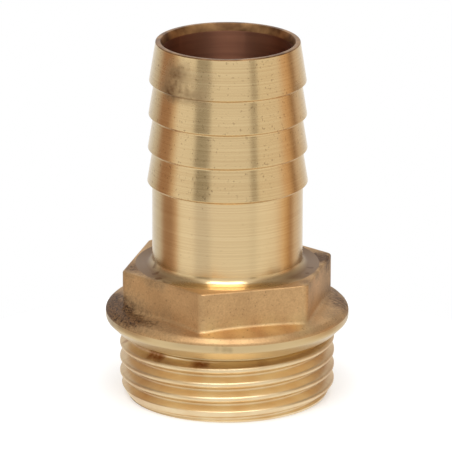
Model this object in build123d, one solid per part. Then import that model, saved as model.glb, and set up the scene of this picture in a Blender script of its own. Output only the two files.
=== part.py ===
from build123d import *
import math
import os

# Hose barb tail: a male threaded brass fitting, turned from one forging.
# Millimetres, +Z up. The origin is the centre of the threaded end's face,
# on which the fitting stands, and +Z runs along the bore towards the hose.
# One flat of the hexagon faces -Y.

# through bore
BORE_RADIUS = 10.0
MOUTH_BEVEL_WIDTH = 0.35
MOUTH_BEVEL_DEPTH = 1.15
END_BEVEL = 0.5

# male parallel pipe thread, G 1, right-handed
THREAD_MAJOR_RADIUS = 16.62
THREAD_PITCH = 2.309
THREAD_ANGLE = 55.0
THREAD_CREST_HEIGHT = 0.11  # where the lowest crest crosses the +X side
THREAD_END_CHAMFER = 1.22
THREAD_END_CHAMFER_ANGLE = 30.0
RELIEF_WIDTH = 0.95
RELIEF_DEPTH = 0.12  # below the thread's root

# flange, whose underside is a narrow seat ring round a shallow recess
SEAT_HEIGHT = 10.7
SEAT_RECESS_DEPTH = 0.17
SEAT_THREAD_GAP = 0.1  # from the thread's crest to the ring
FLANGE_RADIUS = 18.8
FLANGE_RIM = 3.7
FLANGE_TOP_RISE = 0.6
FLANGE_LOWER_BEVEL = 1.7
FLANGE_UPPER_BEVEL = 0.7

# forged hexagon
HEX_ACROSS_FLATS = 29.3
HEX_TOP_HEIGHT = 20.85
HEX_CORNER_ROUND = 1.5
HEX_EDGE_BEVEL = 0.4

# hose tail
OVERALL_HEIGHT = 56.3
TAIL_RADIUS = 11.6
TAIL_FOOT_ROUND = 1.2
RIM_RADIUS = 11.08
BARB_COUNT = 4
BARB_PITCH = 5.32
FIRST_CREST_BELOW_RIM = 6.17
FIRST_CREST_RADIUS = 12.07
LAST_CREST_RADIUS = 12.36
BARB_STEP = 0.72
BARB_BACK_ANGLE = 60.0

# basic form of the thread: a sharp triangle with a sixth cut off at crest and root
half_angle = math.radians(THREAD_ANGLE / 2)
thread_triangle = THREAD_PITCH / 2 / math.tan(half_angle)
thread_depth = thread_triangle * 2 / 3
apex_radius = THREAD_MAJOR_RADIUS + thread_triangle / 6
root_radius = THREAD_MAJOR_RADIUS - thread_depth
relief_radius = root_radius - RELIEF_DEPTH
relief_foot = SEAT_HEIGHT - RELIEF_WIDTH
end_radius = THREAD_MAJOR_RADIUS - THREAD_END_CHAMFER

seat_radius = THREAD_MAJOR_RADIUS + SEAT_THREAD_GAP
recess_height = SEAT_HEIGHT + SEAT_RECESS_DEPTH
rim_top = SEAT_HEIGHT + FLANGE_RIM
hex_reach = HEX_ACROSS_FLATS / 2
CUT = 1.0  # how far cutting tools pass beyond the stock


def outline_face(points, rounds=()):
    """The face inside a closed (radius, height) outline, with some corners rounded."""
    face = make_face(Polyline([(r, 0, z) for r, z in points], close=True))
    for (r, z), radius in rounds:
        corner = face.vertices().sort_by_distance((r, 0, z))[0]
        face = fillet(corner, radius)
    return face


def turned(points, rounds=()):
    """The solid of revolution about Z of a (radius, height) outline."""
    return revolve(outline_face(points, rounds), Axis.Z)


def thread_ridge():
    """One helical ridge of the basic thread form, longer than the stem at both ends.

    The axial section has two straight flanks and a narrow flat crest. Its foot lies
    a little inside the stem's root cylinder, so that the two fuse over a volume.
    """
    foot_radius = root_radius - thread_depth * 0.15
    foot_half = (apex_radius - foot_radius) * math.tan(half_angle)
    crest_half = (apex_radius - THREAD_MAJOR_RADIUS) * math.tan(half_angle)
    section = outline_face([
        (foot_radius, -foot_half),
        (THREAD_MAJOR_RADIUS, -crest_half),
        (THREAD_MAJOR_RADIUS, crest_half),
        (foot_radius, foot_half),
    ])
    turns_below = 2
    turns = turns_below + math.ceil(SEAT_HEIGHT / THREAD_PITCH)
    path = Helix(pitch=THREAD_PITCH, height=turns * THREAD_PITCH, radius=root_radius)
    ridge = sweep(section, path=path, is_frenet=True)
    return Pos(0, 0, THREAD_CREST_HEIGHT - turns_below * THREAD_PITCH) * ridge


def thread_space():
    """The room that the end chamfer and the relief's square shoulder leave for the thread."""
    reach = THREAD_MAJOR_RADIUS + CUT
    chamfer_slope = math.tan(math.radians(THREAD_END_CHAMFER_ANGLE))
    return turned([
        (0, 0),
        (end_radius, 0),
        (reach, (reach - end_radius) / chamfer_slope),
        (reach, relief_foot),
        (0, relief_foot),
    ])


def stem():
    """The threaded stem and the relief between the thread and the flange."""
    threaded = (Pos(0, 0, relief_foot / 2) * Cylinder(root_radius, relief_foot)) & thread_space()
    relief = Pos(0, 0, recess_height / 2) * Cylinder(relief_radius, recess_height)
    return threaded + (thread_ridge() & thread_space()) + relief


def flange():
    """The flange: a beveled round rim and a shallow cone above it up to the hexagon.

    The flat seat below is a ring that starts just outside the thread's crest. Inside
    the ring a shallow recess runs in to the stem, so that the seat lies clear of the
    thread.
    """
    return turned([
        (0, recess_height),
        (seat_radius, recess_height),
        (seat_radius, SEAT_HEIGHT),
        (FLANGE_RADIUS - FLANGE_LOWER_BEVEL, SEAT_HEIGHT),
        (FLANGE_RADIUS, SEAT_HEIGHT + FLANGE_LOWER_BEVEL),
        (FLANGE_RADIUS, rim_top - FLANGE_UPPER_BEVEL),
        (FLANGE_RADIUS - FLANGE_UPPER_BEVEL, rim_top),
        (hex_reach, rim_top + FLANGE_TOP_RISE),
        (0, rim_top + FLANGE_TOP_RISE),
    ])


def hexagon():
    """The wrench hexagon, with round corners and a narrow bevel along its upper edges."""
    plan = RegularPolygon(hex_reach, 6, major_radius=False)
    plan = fillet(plan.vertices(), HEX_CORNER_ROUND)
    block = Pos(0, 0, rim_top) * extrude(plan, HEX_TOP_HEIGHT - rim_top)
    return chamfer(block.edges().group_by(Axis.Z)[-1], HEX_EDGE_BEVEL)


def tail():
    """The hose tail: four barbs over a plain neck, with a round foot on the hexagon.

    Each barb is a slow cone that opens downwards to a sharp crest and then falls
    back more steeply to the foot of the next cone. The crests grow evenly from the
    first barb to the last, which falls back to the neck.
    """
    foot_radius = (TAIL_RADIUS + TAIL_FOOT_ROUND + hex_reach) / 2
    back_slope = math.tan(math.radians(BARB_BACK_ANGLE))
    points = [
        (0, rim_top),
        (0, OVERALL_HEIGHT),
        (RIM_RADIUS, OVERALL_HEIGHT),
    ]
    for i in range(BARB_COUNT):
        growth = i / max(BARB_COUNT - 1, 1)
        crest = FIRST_CREST_RADIUS + (LAST_CREST_RADIUS - FIRST_CREST_RADIUS) * growth
        height = OVERALL_HEIGHT - FIRST_CREST_BELOW_RIM - BARB_PITCH * i
        back = TAIL_RADIUS if i == BARB_COUNT - 1 else crest - BARB_STEP
        points.append((crest, height))
        points.append((back, height - (crest - back) / back_slope))
    points.append((TAIL_RADIUS, HEX_TOP_HEIGHT))
    points.append((foot_radius, HEX_TOP_HEIGHT))
    points.append((foot_radius, rim_top))
    return turned(points, rounds=[((TAIL_RADIUS, HEX_TOP_HEIGHT), TAIL_FOOT_ROUND)])


def bore():
    """The through bore, with a long bevel at the hose end and a short one at the other."""
    return turned([
        (0, -CUT),
        (BORE_RADIUS + END_BEVEL + CUT, -CUT),
        (BORE_RADIUS, END_BEVEL),
        (BORE_RADIUS, OVERALL_HEIGHT - MOUTH_BEVEL_DEPTH),
        (BORE_RADIUS + MOUTH_BEVEL_WIDTH, OVERALL_HEIGHT),
        (BORE_RADIUS + MOUTH_BEVEL_WIDTH, OVERALL_HEIGHT + CUT),
        (0, OVERALL_HEIGHT + CUT),
    ])


fitting = stem() + flange() + hexagon() + tail() - bore()

os.makedirs("parts", exist_ok=True)
export_step(fitting, "parts/hose_barb_tail.step")
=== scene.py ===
import math

import bpy
import numpy as np
from mathutils import Matrix, Vector


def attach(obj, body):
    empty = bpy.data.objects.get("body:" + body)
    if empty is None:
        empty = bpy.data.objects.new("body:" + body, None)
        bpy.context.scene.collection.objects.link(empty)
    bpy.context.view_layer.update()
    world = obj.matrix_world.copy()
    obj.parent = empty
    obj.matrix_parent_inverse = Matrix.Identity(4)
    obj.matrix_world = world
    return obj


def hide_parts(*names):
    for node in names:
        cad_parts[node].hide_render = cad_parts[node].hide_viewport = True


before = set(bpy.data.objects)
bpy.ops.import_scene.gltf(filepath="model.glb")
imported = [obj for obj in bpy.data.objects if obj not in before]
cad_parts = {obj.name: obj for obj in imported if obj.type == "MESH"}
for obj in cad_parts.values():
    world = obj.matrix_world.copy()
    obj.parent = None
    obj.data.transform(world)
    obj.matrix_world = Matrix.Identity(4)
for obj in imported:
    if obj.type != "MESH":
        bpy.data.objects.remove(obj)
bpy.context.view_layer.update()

NODE = "hose_barb_tail"
MM = 0.001

# ---------------------------------------------------------------- sizes, in mm

BORE = 10.0
MOUTH = 10.35
MOUTH_DEPTH = 1.15
END_BEVEL = 0.5
HEIGHT = 56.3
LIP = 0.16  # how far below the mouth its tarnished land reaches

CREST = 16.62
PITCH = 2.309
FLANK = math.radians(27.5)
TRIANGLE = PITCH / 2 / math.tan(FLANK)
CREST_ROUND = 0.46  # worn wider than the basic form's 0.32
ROOT_ROUND = 0.30
APEX = CREST + CREST_ROUND * (1 / math.sin(FLANK) - 1)
ROOT = APEX - TRIANGLE + ROOT_ROUND * (1 / math.sin(FLANK) - 1)
CREST_AT_X = 0.11
END_RADIUS = 15.4
END_SLOPE = math.tan(math.radians(30.0))
RELIEF = 15.02
RELIEF_FOOT = 9.75

SEAT = 10.7
RECESS = 10.87
SEAT_INNER = 16.72
FLANGE = 18.8
FLANGE_LOWER = 1.7
FLANGE_UPPER = 0.7
RIM_TOP = 14.4
RISE = 0.6

HEX_REACH = 14.65
HEX_TOP = 20.85
HEX_CORNER = 1.3
HEX_EDGE = 0.3
HEX_FOOT = 0.5
FACED = 14.2  # how far out the hexagon's top is turned
BLEND = 0.4  # width of the strips where one finish runs into the next

NECK = 11.6
NECK_FOOT = 1.2
RIM = 11.08
BARBS = 4
BARB_PITCH = 5.32
FIRST_CREST = 50.13
FIRST_CREST_RADIUS = 12.07
LAST_CREST_RADIUS = 12.36
BARB_STEP = 0.72
BACK_SLOPE = math.tan(math.radians(60.0))
BARB_CREST_ROUND = 0.13
BARB_ROOT_ROUND = 0.22

FLAT_COLUMNS = 37
CORNER_COLUMNS = 11
THREAD_ROWS = 150

TURNED, RIMMED, CUT, FORGED, BORED, MOUTHED = range(6)  # the finishes


# ---------------------------------------------------------------- the surface


def hexagon_radius(angle, reach, corner):
    """Distance from the axis to a hexagon with round corners, for whole arrays of angles.

    On a flat it is reach / cos(a), with a measured from the nearest face's normal.
    Near a corner it is where the ray meets the corner's circle.
    """
    sector = math.pi / 3
    a = np.abs((angle + math.pi / 2 + sector / 2) % sector - sector / 2)
    flat = reach / np.cos(a)
    centre = (reach - corner) / math.cos(sector / 2)
    b = sector / 2 - a
    inside = np.maximum(corner**2 - (centre * np.sin(b)) ** 2, 0)
    turned_corner = centre * np.cos(b) + np.sqrt(inside)
    on_flat = np.tan(a) <= (reach - corner) * math.tan(sector / 2) / reach
    return np.where(on_flat, flat, turned_corner)


def thread_radius(angle, height):
    """Distance from the axis to a right-hand thread with round crests and roots.

    The height above the nearest crest gives the place in the axial section: a
    straight flank at 27.5 degrees, met by an arc at the crest and one at the root.
    """
    along = (height - CREST_AT_X - PITCH * angle / (2 * math.pi)) % PITCH
    u = np.minimum(along, PITCH - along)
    flank = APEX - u / math.tan(FLANK)
    crest = CREST - CREST_ROUND + np.sqrt(np.maximum(CREST_ROUND**2 - u**2, 0))
    w = PITCH / 2 - u
    root = ROOT + ROOT_ROUND - np.sqrt(np.maximum(ROOT_ROUND**2 - w**2, 0))
    on_crest = u < CREST_ROUND * math.cos(FLANK)
    on_root = w < ROOT_ROUND * math.cos(FLANK)
    return np.where(on_crest, crest, np.where(on_root, root, flank))


def column_angles():
    """The angles of the columns round the axis: even over each flat, closer at each corner."""
    edge = math.atan((HEX_REACH - HEX_CORNER) * math.tan(math.pi / 6) / HEX_REACH)
    flat = np.linspace(-edge, edge, FLAT_COLUMNS)
    corner = np.linspace(edge, math.pi / 3 - edge, CORNER_COLUMNS)[1:-1]
    sector = np.concatenate([flat, corner])
    starts = -math.pi / 2 + np.arange(6)[:, None] * math.pi / 3
    return (starts + sector).ravel()


def round_corner(before, corner, after, radius, steps):
    """Points of the arc that rounds a corner between two straight lines of a profile.

    The arc's centre lies on the line that halves the corner, at the radius over the sine
    of half the corner's angle. From it the points swing evenly between the two tangents.
    """
    p, q, s = (np.array(v, float) for v in (before, corner, after))
    u = (p - q) / np.linalg.norm(p - q)
    v = (s - q) / np.linalg.norm(s - q)
    half = math.acos(np.clip(u @ v, -1, 1)) / 2
    middle = (u + v) / np.linalg.norm(u + v)
    centre = q + middle * radius / math.sin(half)
    start = q + u * radius / math.tan(half) - centre
    end = q + v * radius / math.tan(half) - centre
    t = np.linspace(0, 1, steps + 1)[:, None]
    sweep = math.pi - 2 * half
    return centre + (np.sin((1 - t) * sweep) * start + np.sin(t * sweep) * end) / math.sin(sweep)


def smooth_profile(points):
    """A profile of (radius, height, rounding, steps) corners as a polyline of points."""
    rows = [np.array([points[0][:2]], float)]
    for before, corner, after in zip(points, points[1:], points[2:]):
        if corner[2]:
            rows.append(round_corner(before[:2], corner[:2], after[:2], corner[2], corner[3]))
        else:
            rows.append(np.array([corner[:2]], float))
    rows.append(np.array([points[-1][:2]], float))
    return np.vstack(rows)


def split_long(points, longest):
    """The same polyline with each longer stretch divided evenly."""
    rows = [points[:1]]
    for a, b in zip(points, points[1:]):
        n = max(1, math.ceil(np.linalg.norm(b - a) / longest))
        rows.append(a + (b - a) * np.linspace(0, 1, n + 1)[1:, None])
    return np.vstack(rows)


def fitting_surface():
    """Rows of (radius, height) over all angles, from the bore over the rim to the thread.

    The fitting is a tube, so the rows close on themselves: up the bore, over the
    mouth, down the barbs and the neck, out over the hexagon and the flange, down
    the thread and in across the end face. Returns radii, heights and each row's finish.
    """
    angle = column_angles()
    turns = len(angle)
    rows = []

    def add(radius, height, finish):
        radius = np.broadcast_to(radius, (len(radius), turns))
        height = np.broadcast_to(height, (len(height), turns))
        rows.append((radius, height, np.full(len(radius), finish)))

    def add_turned(points, finish, longest=4.0):
        points = split_long(points, longest)
        add(points[:, :1], points[:, 1:], finish)

    bore = smooth_profile([
        (BORE, END_BEVEL, 0, 0),
        (BORE, HEIGHT - MOUTH_DEPTH, 0.1, 2),
        (MOUTH - 0.05, HEIGHT - LIP, 0, 0),
    ])
    add_turned(bore[:-1], BORED, 6.0)

    mouth = smooth_profile([
        (MOUTH - 0.3, HEIGHT - 1.0, 0, 0),
        (MOUTH, HEIGHT, 0.08, 3),
        (RIM, HEIGHT, 0.15, 4),
        (RIM + 0.02, HEIGHT - LIP, 0, 0),
    ])
    add_turned(mouth[1:-1], MOUTHED)

    tail = [(RIM, HEIGHT, 0, 0), (RIM + 0.03, HEIGHT - 0.18, 0, 0)]
    for i in range(BARBS):
        crest = FIRST_CREST_RADIUS + (LAST_CREST_RADIUS - FIRST_CREST_RADIUS) * i / (BARBS - 1)
        height = FIRST_CREST - BARB_PITCH * i
        back = NECK if i == BARBS - 1 else crest - BARB_STEP
        foot = height - (crest - back) / BACK_SLOPE
        tail.append((crest, height, BARB_CREST_ROUND, 6))
        tail.append((back, foot, BARB_ROOT_ROUND, 5))
    tail.append((NECK, HEX_TOP, NECK_FOOT, 12))
    tail.append((FACED, HEX_TOP, 0, 0))
    add_turned(smooth_profile(tail)[1:], TURNED)

    # top of the hexagon, as forged outside the turned face, out to its rounded edge
    share = np.linspace(0, 1, 5)[1:, None]
    outer = hexagon_radius(angle, HEX_REACH - HEX_EDGE, HEX_CORNER - HEX_EDGE)
    add(FACED + (outer - FACED) * share, np.full((4, 1), HEX_TOP), FORGED)
    t = np.linspace(0, math.pi / 2, 7)[1:, None]
    inset = HEX_EDGE * (1 - np.sin(t[:, 0]))
    edge = np.vstack([hexagon_radius(angle, HEX_REACH - v, HEX_CORNER - v) for v in inset])
    add(edge, HEX_TOP - HEX_EDGE * (1 - np.cos(t)), FORGED)

    # flats, and the fillet at their foot on the flange's cone
    wall = hexagon_radius(angle, HEX_REACH, HEX_CORNER)

    def crown(radius):
        share = (radius - HEX_REACH) / (FLANGE - FLANGE_UPPER - HEX_REACH)
        return RIM_TOP + RISE * (1 - share**1.6)

    top = HEX_TOP - HEX_EDGE
    bottom = crown(wall) + HEX_FOOT
    share = np.linspace(0, 1, 7)[1:, None]
    add(np.repeat(wall[None], 6, 0), top + (bottom - top) * share, FORGED)
    t = np.linspace(0, math.pi / 2, 6)[1:, None]
    foot = wall + HEX_FOOT * (1 - np.cos(t))
    add(foot, crown(foot) + HEX_FOOT * (1 - np.sin(t)), FORGED)
    start = wall + HEX_FOOT
    end = FLANGE - FLANGE_UPPER - BLEND
    share = np.linspace(0, 1, 6)[1:, None]
    top_rows = start + (end - start) * share
    add(top_rows, crown(top_rows), FORGED)

    shoulder = smooth_profile([
        (end, float(crown(end)), 0, 0),
        (FLANGE - FLANGE_UPPER, RIM_TOP, 0.9, 5),
        (FLANGE, RIM_TOP - FLANGE_UPPER, 0.7, 5),
        (FLANGE, RIM_TOP - FLANGE_UPPER - BLEND, 0, 0),
    ])
    add_turned(shoulder[1:-1], FORGED)
    rim = smooth_profile([
        (FLANGE, RIM_TOP, 0, 0),
        (FLANGE, SEAT + FLANGE_LOWER, 0.8, 6),
        (FLANGE - FLANGE_LOWER, SEAT, 0.15, 5),
        (SEAT_INNER, SEAT, 0.05, 2),
        (SEAT_INNER - 0.1, RECESS, 0.05, 2),
        (RELIEF, RECESS, 0.5, 5),
        (RELIEF, RELIEF_FOOT, 0.1, 3),
        (RELIEF + 0.2, RELIEF_FOOT, 0, 0),
    ])
    add_turned(rim[1:-1], RIMMED)

    # thread, from its square shoulder at the relief down to the end chamfer's cone
    height = np.concatenate([[RELIEF_FOOT], np.linspace(RELIEF_FOOT - 0.05, 0.04, THREAD_ROWS)])[:, None]
    chamfer = END_RADIUS + height * END_SLOPE
    form = thread_radius(angle, height)
    form[0] -= 0.05  # breaks the shoulder's sharp edge
    add(np.minimum(form, chamfer), height, CUT)

    face = smooth_profile([
        (END_RADIUS - 0.04, 0, 0, 0),
        (BORE + END_BEVEL, 0, 0, 0),
        (BORE, END_BEVEL, 0, 0),
    ])
    add_turned(face[:-1], TURNED)

    radius = np.vstack([r for r, _, _ in rows])
    height = np.vstack([h for _, h, _ in rows])
    finish = np.concatenate([f for _, _, f in rows])
    return angle, radius, height, finish


def tube_mesh(name, angle, radius, height, finish):
    """A mesh of quads from rows of (radius, height), closed round the axis and row to row.

    A point's x and y are its radius times the cosine and the sine of its column's angle,
    and its z is its height. The last row joins the first, so the surface has no edge.
    """
    count, turns = radius.shape
    xyz = np.stack([radius * np.cos(angle), radius * np.sin(angle), height], -1) * MM
    i = np.arange(count)[:, None]
    j = np.arange(turns)[None]
    i2 = (i + 1) % count
    j2 = (j + 1) % turns
    quads = np.stack([i * turns + j, i2 * turns + j, i2 * turns + j2, i * turns + j2], -1)
    mesh = bpy.data.meshes.new(name)
    mesh.vertices.add(count * turns)
    mesh.vertices.foreach_set("co", xyz.ravel().astype(np.float32))
    mesh.loops.add(quads.size)
    mesh.loops.foreach_set("vertex_index", quads.ravel().astype(np.int32))
    mesh.polygons.add(count * turns)
    mesh.polygons.foreach_set("loop_start", (np.arange(count * turns) * 4).astype(np.int32))
    per_face = np.broadcast_to(np.roll(finish, -1)[:, None], (count, turns))
    mesh.polygons.foreach_set("material_index", per_face.ravel().astype(np.int32))
    mesh.polygons.foreach_set("use_smooth", np.ones(count * turns, bool))
    mesh.update(calc_edges=True)
    mesh.validate()
    return mesh


# ---------------------------------------------------------------- materials


def linear(hex_colour):
    """An sRGB hex colour as linear red, green, blue and full alpha."""
    values = [int(hex_colour[i:i + 2], 16) / 255 for i in (1, 3, 5)]
    return [v / 12.92 if v <= 0.04045 else ((v + 0.055) / 1.055) ** 2.4 for v in values] + [1.0]


def add_node(tree, kind, settings=None, links=None):
    """A node of one kind, with its settings, and its inputs set or linked by name or number."""
    node = tree.nodes.new(kind)
    for key, value in (settings or {}).items():
        setattr(node, key, value)
    for key, value in (links or {}).items():
        if isinstance(value, bpy.types.NodeSocket):
            tree.links.new(value, node.inputs[key])
        else:
            node.inputs[key].default_value = value
    return node


def new_material(name):
    """An empty node material, its node tree and the object coordinates to paint it by."""
    material = bpy.data.materials.new(name)
    material.use_nodes = True
    tree = material.node_tree
    tree.nodes.clear()
    where = add_node(tree, "ShaderNodeTexCoord").outputs["Object"]
    return material, tree, where


def spots(tree, where, places):
    """How strongly a patch covers a point: soft balls at (x, y, z, reach, strength) in mm.

    Each ball fades from its strength at the centre to nothing at its reach, and noise
    moves that edge in and out by bays of 0.7 mm. A strength above 1 gives a full core.
    Balls add up to 1.
    """
    ragged = add_node(tree, "ShaderNodeTexNoise", links={"Vector": where, "Scale": 1400.0, "Detail": 4.0})
    total = None
    for x, y, z, reach, strength in places:
        away = add_node(tree, "ShaderNodeVectorMath", {"operation": "DISTANCE"}, {
            0: where, 1: (x * MM, y * MM, z * MM)})
        moved = add_node(tree, "ShaderNodeMath", {"operation": "MULTIPLY_ADD"}, {
            0: ragged.outputs[0], 1: reach * MM * 0.5, 2: away.outputs[1]})
        fade = add_node(tree, "ShaderNodeMapRange", {"interpolation_type": "SMOOTHSTEP"}, {
            "Value": moved.outputs[0], 1: reach * MM * 0.2, 2: reach * MM * 1.3, 3: strength, 4: 0.0})
        if total is None:
            total = fade.outputs[0]
        else:
            both = add_node(tree, "ShaderNodeMath", {"operation": "ADD", "use_clamp": True}, {
                0: total, 1: fade.outputs[0]})
            total = both.outputs[0]
    return total


def turned_tail():
    """CuZn39Pb3 brass turned bright with a fine feed.

    The feed lines blur what it mirrors upwards and downwards only, so the room shows as
    upright bands. Tarnish lies on it in a few brown patches, and specks on the barbs.
    Painted shade darkens the neck's foot at left and right, and the turned faces away from the camera.
    """
    material, tree, where = new_material("brass_turned_bright")
    # real feed lines are some 0.1 mm apart; drawn at 0.2 mm, fading in and out round the tail
    feed_at = add_node(tree, "ShaderNodeMapping", links={"Vector": where, "Scale": (30, 30, 5200)})
    feed = add_node(tree, "ShaderNodeTexNoise", links={
        "Vector": feed_at.outputs[0], "Scale": 1.0, "Detail": 2.0})
    feeds = add_node(tree, "ShaderNodeMapRange", links={"Value": feed.outputs[0], 1: 0.3, 2: 0.7})
    clean = add_node(tree, "ShaderNodeMix", {"data_type": "RGBA"}, {
        0: feeds.outputs[0], 6: linear("#DCC092"), 7: linear("#E6CD9F")})
    film = spots(tree, where, [
        (-10.4, -5.4, 54.0, 2.8, 0.4), (-9.3, -7.1, 53.3, 3.0, 0.5), (-10.6, -5.0, 51.9, 3.0, 0.45),
        (-10.9, -4.1, 50.2, 2.2, 0.55), (-10.2, -5.9, 50.2, 2.2, 0.6), (-8.8, -7.8, 50.4, 2.2, 0.5),
        (-7.2, -9.4, 50.2, 2.4, 0.55), (-6.6, -9.7, 53.2, 2.6, 0.3), (8.4, -8.2, 50.4, 1.8, 0.35),
        (11.5, 3.0, 47.0, 3.0, 0.3), (2.0, 11.4, 41.0, 3.0, 0.3), (-8.0, 8.2, 52.0, 2.5, 0.35),
        # painted shade: from here on, balls at 20.9 to 21.2 mm high darken the foot of the neck at left
        # and right
        (-12.4, -2.7, 20.9, 1.8, 1.2), (-12.5, -5.0, 20.9, 1.8, 1.2), (-12.2, -7.2, 20.9, 1.6, 1.0),
        (-11.9, -0.4, 21.2, 1.6, 0.9), (12.0, -3.6, 21.2, 1.6, 1.0), (11.6, -6.2, 21.0, 1.8, 1.2),
        (10.2, -8.8, 20.9, 1.8, 1.1),
    ])
    # painted shade: the turned face on the hexagon's top, the foot of the fillet and the end face under
    # the thread take the brown film, but for a strip facing the camera
    height = add_node(tree, "ShaderNodeSeparateXYZ", links={0: where})
    face = add_node(tree, "ShaderNodeMapRange", links={
        "Value": height.outputs[2], 1: (HEX_TOP + 0.05) * MM, 2: (HEX_TOP + 1.05) * MM, 3: 1.0, 4: 0.0})
    toward_camera = add_node(tree, "ShaderNodeVectorMath", {"operation": "DOT_PRODUCT"}, {
        0: where, 1: (-0.284, -0.959, 0)})
    dull = add_node(tree, "ShaderNodeMapRange", {"interpolation_type": "SMOOTHSTEP"}, {
        "Value": toward_camera.outputs[1], 1: 0.0072, 2: 0.0118, 3: 0.9, 4: 0.0})
    painted_side_shade = add_node(tree, "ShaderNodeMath", {"operation": "MULTIPLY"}, {
        0: face.outputs[0], 1: dull.outputs[0]})
    film = add_node(tree, "ShaderNodeMath", {"operation": "MAXIMUM"}, {
        0: film, 1: painted_side_shade.outputs[0]}).outputs[0]
    stain_and_painted_shade = add_node(tree, "ShaderNodeMix", {"data_type": "RGBA"}, {
        0: film, 6: clean.outputs[2], 7: linear("#6E4C28")})
    # specks of 0.4 mm, thick on the barbs only (above 34 mm) and in drifts of about 5 mm
    speck = add_node(tree, "ShaderNodeTexNoise", links={"Vector": where, "Scale": 2300.0, "Detail": 2.0})
    drift = add_node(tree, "ShaderNodeTexNoise", links={"Vector": where, "Scale": 200.0, "Detail": 2.0})
    barbed = add_node(tree, "ShaderNodeMapRange", links={
        "Value": height.outputs[2], 1: 0.0335, 2: 0.0345, 3: 0.0, 4: 0.14})
    level = add_node(tree, "ShaderNodeMath", {"operation": "MULTIPLY_ADD"}, {
        0: drift.outputs[0], 1: barbed.outputs[0], 2: speck.outputs[0]})
    specks = add_node(tree, "ShaderNodeMapRange", links={
        "Value": level.outputs[0], 1: 0.69, 2: 0.8, 3: 0.0, 4: 0.45})
    colour = add_node(tree, "ShaderNodeMix", {"data_type": "RGBA"}, {
        0: specks.outputs[0], 6: stain_and_painted_shade.outputs[2], 7: linear("#7A5E3A")})
    # where the film and the painted shade lie, it is rougher and less metallic, and part of what shows is
    # their own brown
    bare = add_node(tree, "ShaderNodeMath", {"operation": "MULTIPLY_ADD"}, {0: film, 1: -0.4, 2: 1.0})
    smooth = add_node(tree, "ShaderNodeMapRange", links={"Value": feed.outputs[0], 3: 0.18, 4: 0.28})
    rough = add_node(tree, "ShaderNodeMath", {"operation": "MULTIPLY_ADD"}, {
        0: film, 1: 0.3, 2: smooth.outputs[0]})
    bump = add_node(tree, "ShaderNodeBump", links={
        "Height": feed.outputs[0], "Strength": 0.1, "Distance": 0.00001})
    surface = add_node(tree, "ShaderNodeBsdfPrincipled", links={
        "Base Color": colour.outputs[2], "Metallic": bare.outputs[0], "Roughness": rough.outputs[0],
        "Anisotropic": 0.8, "Anisotropic Rotation": 0.25, "Normal": bump.outputs[0]})
    add_node(tree, "ShaderNodeOutputMaterial", links={"Surface": surface.outputs[0]})
    return material


def tarnished_mouth():
    """The mouth's land and inner bevel: turned brass gone brown, with a few brighter rubs."""
    material, tree, where = new_material("brass_mouth_tarnished")
    # the brown film thins out in patches of about 2.4 mm
    film = add_node(tree, "ShaderNodeTexNoise", links={"Vector": where, "Scale": 420.0, "Detail": 3.0})
    films = add_node(tree, "ShaderNodeMapRange", links={"Value": film.outputs[0], 1: 0.35, 2: 0.65})
    colour = add_node(tree, "ShaderNodeMix", {"data_type": "RGBA"}, {
        0: films.outputs[0], 6: linear("#6F5036"), 7: linear("#A98259")})
    surface = add_node(tree, "ShaderNodeBsdfPrincipled", links={
        "Base Color": colour.outputs[2], "Metallic": 1.0, "Roughness": 0.4})
    add_node(tree, "ShaderNodeOutputMaterial", links={"Surface": surface.outputs[0]})
    return material


def turned_rim():
    """The flange's turned rim and seat: a satin finish from a coarser cut, handled and a little dull."""
    material, tree, where = new_material("brass_turned_satin")
    # real feed lines are some 0.2 mm apart; drawn at 0.4 mm, so that they show
    feed_at = add_node(tree, "ShaderNodeMapping", links={"Vector": where, "Scale": (60, 60, 2500)})
    feed = add_node(tree, "ShaderNodeTexNoise", links={
        "Vector": feed_at.outputs[0], "Scale": 1.0, "Detail": 2.0})
    clean = add_node(tree, "ShaderNodeMix", {"data_type": "RGBA"}, {
        0: feed.outputs[0], 6: linear("#D2B98C"), 7: linear("#DEC597")})
    film = spots(tree, where, [
        (-5.7, -17.9, 12.9, 0.8, 0.35), (-4.9, -18.2, 12.8, 0.7, 0.35), (-6.8, -17.5, 13.0, 0.7, 0.3),
        (-18.4, -4.0, 13.9, 1.6, 0.5), (-18.8, 1.0, 13.4, 3.0, 0.5), (17.6, 6.5, 13.0, 1.5, 0.4),
        (17.1, -7.8, 12.9, 3.0, 0.35), (18.6, -3.0, 12.9, 3.5, 0.4), (-18.7, -1.5, 12.3, 3.0, 0.4),
    ])
    colour = add_node(tree, "ShaderNodeMix", {"data_type": "RGBA"}, {
        0: film, 6: clean.outputs[2], 7: linear("#7E6343")})
    bump = add_node(tree, "ShaderNodeBump", links={
        "Height": feed.outputs[0], "Strength": 0.15, "Distance": 0.00001})
    surface = add_node(tree, "ShaderNodeBsdfPrincipled", links={
        "Base Color": colour.outputs[2], "Metallic": 1.0, "Roughness": 0.28, "Normal": bump.outputs[0]})
    add_node(tree, "ShaderNodeOutputMaterial", links={"Surface": surface.outputs[0]})
    return material


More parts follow.
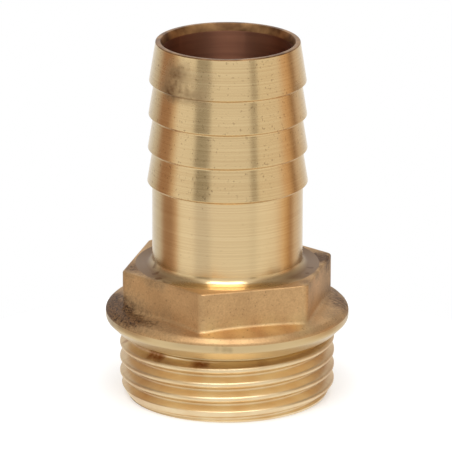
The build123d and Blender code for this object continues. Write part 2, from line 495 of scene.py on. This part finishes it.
def cut_thread():
    """The cut thread: pale bright crests, and warm flanks that mirror each other.

    Brown patches lie in its grooves, and large faint spots paint a warm reflection of brass on both sides.
    """
    material, tree, where = new_material("brass_thread_cut")
    # small patches near the relief, then large faint ones, a painted warm reflection of brass that makes
    # both sides warmer
    film = spots(tree, where, [
        (-14.1, -6.8, 9.4, 1.4, 1.0), (-13.2, -8.3, 9.4, 1.5, 1.0), (-8.7, -13.0, 9.2, 1.3, 1.0),
        (-7.6, -13.6, 9.1, 1.3, 1.0), (0.9, -15.6, 9.1, 1.4, 0.5), (-15.5, 1.9, 8.3, 1.2, 0.9),
        (-15.6, 0.4, 5.9, 0.9, 0.7), (-15.6, -0.1, 3.5, 0.9, 0.7), (13.0, 9.0, 7.0, 1.5, 0.6),
        (-15.5, -4.0, 5.0, 9.0, 0.35), (-14.0, 6.0, 5.0, 9.0, 0.35), (14.0, -8.0, 5.0, 9.0, 0.5),
        (15.0, 6.0, 5.0, 9.0, 0.3),
    ])
    # handling has dulled it in areas of about 4 mm
    dull = add_node(tree, "ShaderNodeTexNoise", links={"Vector": where, "Scale": 260.0, "Detail": 3.0})
    dulls = add_node(tree, "ShaderNodeMapRange", links={"Value": dull.outputs[0], 1: 0.35, 2: 0.7})
    clean = add_node(tree, "ShaderNodeMix", {"data_type": "RGBA"}, {
        0: dulls.outputs[0], 6: linear("#F5E0B8"), 7: linear("#EDD0A2")})
    colour = add_node(tree, "ShaderNodeMix", {"data_type": "RGBA"}, {
        0: film, 6: clean.outputs[2], 7: linear("#A87448")})
    surface = add_node(tree, "ShaderNodeBsdfPrincipled", links={
        "Base Color": colour.outputs[2], "Metallic": 1.0, "Roughness": 0.4})
    add_node(tree, "ShaderNodeOutputMaterial", links={"Surface": surface.outputs[0]})
    return material


def forged_hexagon():
    """The same brass as forged and shot blasted: a matte grainy skin with pits and brown oxide.

    A dark scale is left on both sides of the flange's top. The same dark mix paints shade on the hexagon's
    top round the neck, and a painted highlight brightens the front of the flange.
    """
    material, tree, where = new_material("brass_as_forged")
    # blast grain of 0.28 mm, pits of 0.4 mm and oxide in clouds of about 4 mm
    grain = add_node(tree, "ShaderNodeTexNoise", links={"Vector": where, "Scale": 3600.0, "Detail": 2.0})
    pit = add_node(tree, "ShaderNodeTexNoise", links={"Vector": where, "Scale": 2500.0, "Detail": 1.0})
    pits = add_node(tree, "ShaderNodeMapRange", links={
        "Value": pit.outputs[0], 1: 0.66, 2: 0.8, 3: 0.0, 4: 0.6})
    oxide = add_node(tree, "ShaderNodeTexNoise", links={"Vector": where, "Scale": 230.0, "Detail": 4.0})
    oxides = add_node(tree, "ShaderNodeMapRange", links={
        "Value": oxide.outputs[0], 1: 0.4, 2: 0.7, 3: 0.0, 4: 0.35})
    skin = add_node(tree, "ShaderNodeMix", {"data_type": "RGBA"}, {
        0: grain.outputs[0], 6: linear("#BC9669"), 7: linear("#E5BF8D")})
    browned = add_node(tree, "ShaderNodeMix", {"data_type": "RGBA"}, {
        0: oxides.outputs[0], 6: skin.outputs[2], 7: linear("#A58058")})
    # balls at 20.9 and 22.2 mm high are painted shade on the hexagon's top round the neck and at its far
    # left and right corners; the lower ones are dark scale on the flange's top and flats
    film = spots(tree, where, [
        (-13.4, -2.7, 20.9, 2.2, 0.6), (-13.4, -5.0, 20.9, 2.2, 0.7), (-12.8, -7.2, 20.9, 2.0, 0.6),
        (8.8, -12.8, 20.9, 2.2, 0.7), (11.4, -8.6, 20.9, 2.2, 0.7), (12.6, -6.0, 20.9, 2.0, 0.6),
        (-16.5, 9.0, 14.8, 5.0, 0.8), (-17.6, 5.0, 14.8, 5.0, 1.1), (-17.9, 1.0, 14.8, 4.8, 1.2),
        (-17.4, -3.0, 14.8, 4.6, 1.1), (-16.2, -6.6, 14.8, 4.0, 1.0), (-14.0, -9.3, 15.3, 3.4, 0.7),
        (-12.2, -12.2, 14.8, 2.8, 0.45), (9.0, -15.3, 14.8, 3.0, 0.4), (16.6, -7.8, 14.8, 4.0, 0.8),
        (17.4, -4.2, 14.8, 4.0, 0.8), (18.0, 0.5, 14.6, 4.5, 0.8), (14.0, -11.6, 14.8, 3.4, 0.6),
        (14.6, -3.0, 18.0, 7.0, 0.35), (14.8, -2.0, 22.2, 4.5, 1.0), (-14.8, 0.5, 22.2, 4.5, 1.0),
        (13.0, 12.0, 14.6, 5.0, 0.7), (-4.0, 17.5, 14.6, 5.0, 0.6), (-14.0, 4.0, 20.9, 5.0, 0.45),
        (13.5, 0.0, 20.9, 5.5, 0.5), (-7.5, 11.5, 20.9, 5.0, 0.4), (7.5, 11.5, 20.9, 5.0, 0.5),
    ])
    grains = add_node(tree, "ShaderNodeMapRange", links={"Value": grain.outputs[0], 1: 0.35, 2: 0.65})
    scale_and_painted_shade_colour = add_node(tree, "ShaderNodeMix", {"data_type": "RGBA"}, {
        0: grains.outputs[0], 6: linear("#2E1F10"), 7: linear("#785636")})
    # painted highlight: four balls brighten the front of the flange's top, on the side facing the camera
    painted_front_highlight = spots(tree, where, [
        (-7.0, -15.8, 15.0, 3.0, 0.8), (-2.5, -16.2, 15.0, 3.0, 0.9),
        (2.5, -16.2, 15.0, 3.0, 0.9), (7.0, -15.8, 15.0, 3.0, 0.7),
    ])
    bright = add_node(tree, "ShaderNodeMix", {"data_type": "RGBA"}, {
        0: painted_front_highlight, 6: browned.outputs[2], 7: linear("#E4C994")})
    # the dark mix and the lost metal below paint the scale and the shade alike
    stain_and_painted_shade = add_node(tree, "ShaderNodeMix", {"data_type": "RGBA"}, {
        0: film, 6: bright.outputs[2], 7: scale_and_painted_shade_colour.outputs[2]})
    colour = add_node(tree, "ShaderNodeMix", {"data_type": "RGBA"}, {
        0: pits.outputs[0], 6: stain_and_painted_shade.outputs[2], 7: linear("#83633F")})
    bare = add_node(tree, "ShaderNodeMath", {"operation": "SUBTRACT"}, {0: 1.0, 1: film})
    depth = add_node(tree, "ShaderNodeMath", {"operation": "SUBTRACT"}, {
        0: grain.outputs[0], 1: pits.outputs[0]})
    bump = add_node(tree, "ShaderNodeBump", links={
        "Height": depth.outputs[0], "Strength": 0.5, "Distance": 0.00004})
    surface = add_node(tree, "ShaderNodeBsdfPrincipled", links={
        "Base Color": colour.outputs[2], "Metallic": bare.outputs[0], "Roughness": 0.52,
        "Specular IOR Level": 0.15, "Normal": bump.outputs[0]})
    add_node(tree, "ShaderNodeOutputMaterial", links={"Surface": surface.outputs[0]})
    return material


def drilled_bore():
    """The drilled bore: drill marks round it and a red-brown film that glows where light reaches in."""
    material, tree, where = new_material("brass_drilled_bore")
    # real drill marks are some 0.2 mm apart; drawn at 0.7 mm, so that they show
    marks_at = add_node(tree, "ShaderNodeMapping", links={"Vector": where, "Scale": (50, 50, 1500)})
    marks = add_node(tree, "ShaderNodeTexNoise", links={
        "Vector": marks_at.outputs[0], "Scale": 1.0, "Detail": 2.0})
    colour = add_node(tree, "ShaderNodeMix", {"data_type": "RGBA"}, {
        0: marks.outputs[0], 6: linear("#926652"), 7: linear("#BA8468")})
    bump = add_node(tree, "ShaderNodeBump", links={
        "Height": marks.outputs[0], "Strength": 0.3, "Distance": 0.00002})
    surface = add_node(tree, "ShaderNodeBsdfPrincipled", links={
        "Base Color": colour.outputs[2], "Metallic": 1.0, "Roughness": 0.42, "Anisotropic": 0.8,
        "Anisotropic Rotation": 0.25, "Normal": bump.outputs[0]})
    add_node(tree, "ShaderNodeOutputMaterial", links={"Surface": surface.outputs[0]})
    return material


mesh = tube_mesh("hose_barb_tail_surface", *fitting_surface())
for finish in (turned_tail, turned_rim, cut_thread, forged_hexagon, drilled_bore, tarnished_mouth):
    mesh.materials.append(finish())
fitting = bpy.data.objects.new("fitting", mesh)
bpy.context.scene.collection.objects.link(fitting)
weighted = fitting.modifiers.new("even_normals", "WEIGHTED_NORMAL")
weighted.keep_sharp = True
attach(fitting, "root")
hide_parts(NODE)

# ---------------------------------------------------------------- studio


CAMERA_AZIMUTH = -16.5
CAMERA_ELEVATION = 17.34
CAMERA_DISTANCE = 0.8413
FOCAL_PIXELS = 5456.6
FRAME_PIXELS = 452
AIM_HEIGHT = 0.0267
AIM_ASIDE = -0.000224
ROLL = 0.003
LAMP_AIM_HEIGHT = 0.03
FLOOR_RADIUS = 0.05

# what the polished metal sees of the room, as (degrees round from the camera to its
# right, colour), below the horizon, at it, and overhead: pale walls with darker gaps
ROOM_LOW = [
    (-180, "#FFFFFF"), (-150, "#E2E6EC"), (-128, "#D4D2D0"), (-113, "#A6866F"),
    (-95, "#A68670"), (-86, "#D2B49C"),
    (-77, "#F8F6F2"), (-58, "#FCFAF8"), (-49, "#ECEAEA"), (-33, "#ECEAEA"), (-20, "#F4F2F0"),
    (35, "#F4F2EE"), (55, "#FCFAF6"), (76, "#F8F2EA"), (86, "#ECDCCC"), (96, "#EACEAD"),
    (105, "#CEA87E"), (113, "#AE8866"), (124, "#D9C4B2"), (143, "#E2DCDA"), (165, "#F4F4F4"),
]
ROOM_LEVEL = [
    (-180, "#F8FAFC"), (-145, "#E0E2E4"), (-126, "#C6BCB0"), (-114, "#A88268"),
    (-95, "#AE8A70"), (-86, "#E2CCB4"),
    (-77, "#F6F2EC"), (-52, "#EEEAE2"), (-46, "#8E887A"), (-28, "#989284"), (-23, "#E4E0D8"),
    (32, "#E4E0D8"), (36, "#A8A092"), (42, "#AAA496"), (46, "#EAE2D4"), (80, "#EAE0D2"),
    (90, "#DFC1A4"), (100, "#D9B490"), (112, "#9A7C62"), (124, "#D2C0B0"), (145, "#E0DCD8"),
    (165, "#F4F4F4"),
]
ROOM_HIGH = [
    (-180, "#FFFFFF"), (-150, "#E8E4DE"), (-125, "#8E8276"), (-90, "#948A7E"),
    (-60, "#C8BEB2"), (-42, "#F6F4F2"),
    (42, "#F6F4F2"), (60, "#C8BEB2"), (90, "#948A7E"), (125, "#8E8276"), (150, "#E8E4DE"),
]


def studio_world():
    """A white studio, plain to the camera, whose walls and gaps between lights the metal mirrors."""
    world = bpy.data.worlds.new("studio")
    bpy.context.scene.world = world
    world.use_nodes = True
    tree = world.node_tree
    tree.nodes.clear()
    where = add_node(tree, "ShaderNodeTexCoord").outputs["Generated"]
    part = add_node(tree, "ShaderNodeSeparateXYZ", links={0: where})
    azimuth = add_node(tree, "ShaderNodeMath", {"operation": "ARCTAN2"}, {
        0: part.outputs[1], 1: part.outputs[0]})
    share = add_node(tree, "ShaderNodeMapRange", links={
        "Value": azimuth.outputs[0], 1: -math.pi, 2: math.pi, 3: 0.0, 4: 1.0})
    seen_by_metal = []
    for room in (ROOM_LOW, ROOM_LEVEL, ROOM_HIGH):
        ramp = add_node(tree, "ShaderNodeValToRGB", links={0: share.outputs[0]})
        stops = sorted(((CAMERA_AZIMUTH - 90 + a + 180) % 360 / 360, linear(colour)) for a, colour in room)
        # the ramp's ends meet at the colour halfway round between its outermost stops
        ends = [(a + b) / 2 for a, b in zip(stops[0][1], stops[-1][1])]
        elements = ramp.color_ramp.elements
        elements[0].position, elements[0].color = 0.0, ends
        elements[1].position, elements[1].color = 1.0, ends
        for position, colour in stops:
            elements.new(position).color = colour
        seen_by_metal.append(ramp.outputs[0])
    low, level, high = seen_by_metal
    # low meets level between 13 and 6 degrees below the horizon, level meets high at 12 to 27 above
    rise = add_node(tree, "ShaderNodeMapRange", links={"Value": part.outputs[2], 1: -0.22, 2: -0.10})
    lift = add_node(tree, "ShaderNodeMapRange", links={"Value": part.outputs[2], 1: 0.20, 2: 0.45})
    walls = add_node(tree, "ShaderNodeMix", {"data_type": "RGBA"}, {0: rise.outputs[0], 6: low, 7: level})
    room = add_node(tree, "ShaderNodeMix", {"data_type": "RGBA"}, {
        0: lift.outputs[0], 6: walls.outputs[2], 7: high})
    path = add_node(tree, "ShaderNodeLightPath")
    glossy = add_node(tree, "ShaderNodeMath", {"operation": "MAXIMUM"}, {
        0: path.outputs["Is Glossy Ray"], 1: path.outputs["Is Transmission Ray"]})
    light = add_node(tree, "ShaderNodeMix", {"data_type": "RGBA"}, {
        0: glossy.outputs[0], 6: (0.9, 0.9, 0.9, 1), 7: room.outputs[2]})
    seen = add_node(tree, "ShaderNodeMix", {"data_type": "RGBA"}, {
        0: path.outputs["Is Camera Ray"], 6: light.outputs[2], 7: (1, 1, 1, 1)})
    background = add_node(tree, "ShaderNodeBackground", links={0: seen.outputs[2], 1: 1.0})
    add_node(tree, "ShaderNodeOutputWorld", links={0: background.outputs[0]})


def studio_floor():
    """A pale round table top that shows white and keeps the fitting's soft shadow."""
    bpy.ops.mesh.primitive_circle_add(
        vertices=128, radius=FLOOR_RADIUS, fill_type="NGON", location=(0, 0, 0))
    floor = bpy.context.object
    floor.name = "table"
    material = bpy.data.materials.new("pale_table_laminate")
    material.use_nodes = True
    tree = material.node_tree
    tree.nodes.clear()
    diffuse = add_node(tree, "ShaderNodeBsdfDiffuse", links={0: (0.8, 0.8, 0.8, 1)})
    path = add_node(tree, "ShaderNodeLightPath")
    lit = add_node(tree, "ShaderNodeMath", {"operation": "MULTIPLY"}, {
        0: path.outputs["Is Camera Ray"], 1: 0.3})
    glow = add_node(tree, "ShaderNodeEmission", links={0: (1, 1, 1, 1), 1: lit.outputs[0]})
    both = add_node(tree, "ShaderNodeAddShader", links={0: diffuse.outputs[0], 1: glow.outputs[0]})
    mirrored = add_node(tree, "ShaderNodeEmission", links={0: (0.92, 0.9, 0.87, 1), 1: 1.0})
    seen = add_node(tree, "ShaderNodeMixShader", links={
        0: path.outputs["Is Glossy Ray"], 1: both.outputs[0], 2: mirrored.outputs[0]})
    add_node(tree, "ShaderNodeOutputMaterial", links={"Surface": seen.outputs[0]})
    floor.data.materials.append(material)


def towards(azimuth, elevation):
    """The direction from the fitting at degrees round from its front and above the horizon.

    Its z is the sine of the elevation, and the cosine is shared out by the azimuth.
    """
    a, e = math.radians(azimuth), math.radians(elevation)
    return Vector((math.sin(a) * math.cos(e), -math.cos(a) * math.cos(e), math.sin(e)))


def softbox(name, azimuth, elevation, distance, width, height, watts):
    """An area lamp that faces the fitting from one direction."""
    data = bpy.data.lights.new(name, "AREA")
    data.shape = "RECTANGLE"
    data.size, data.size_y = width, height
    data.energy = watts
    lamp = bpy.data.objects.new(name, data)
    bpy.context.scene.collection.objects.link(lamp)
    back = towards(azimuth, elevation)
    lamp.location = Vector((0, 0, LAMP_AIM_HEIGHT)) + back * distance
    lamp.rotation_euler = back.to_track_quat("Z", "Y").to_euler()


def studio_camera():
    """A long lens that looks slightly down on the fitting, rolled by a fraction of a degree."""
    data = bpy.data.cameras.new("camera")
    data.sensor_width = 36.0
    data.lens = data.sensor_width * FOCAL_PIXELS / FRAME_PIXELS
    camera = bpy.data.objects.new("camera", data)
    bpy.context.scene.collection.objects.link(camera)
    back = towards(CAMERA_AZIMUTH, CAMERA_ELEVATION)
    right = towards(CAMERA_AZIMUTH + 90, 0)
    camera.location = Vector((0, 0, AIM_HEIGHT)) + right * AIM_ASIDE + back * CAMERA_DISTANCE
    upright = back.to_track_quat("Z", "Y").to_matrix()
    camera.rotation_euler = (upright @ Matrix.Rotation(ROLL, 3, "Z")).to_euler()
    bpy.context.scene.camera = camera


studio_world()
studio_floor()
softbox("top_light", -18, 61, 0.5, 0.36, 0.3, 1.15)
studio_camera()
bpy.context.scene.view_settings.view_transform = "Standard"
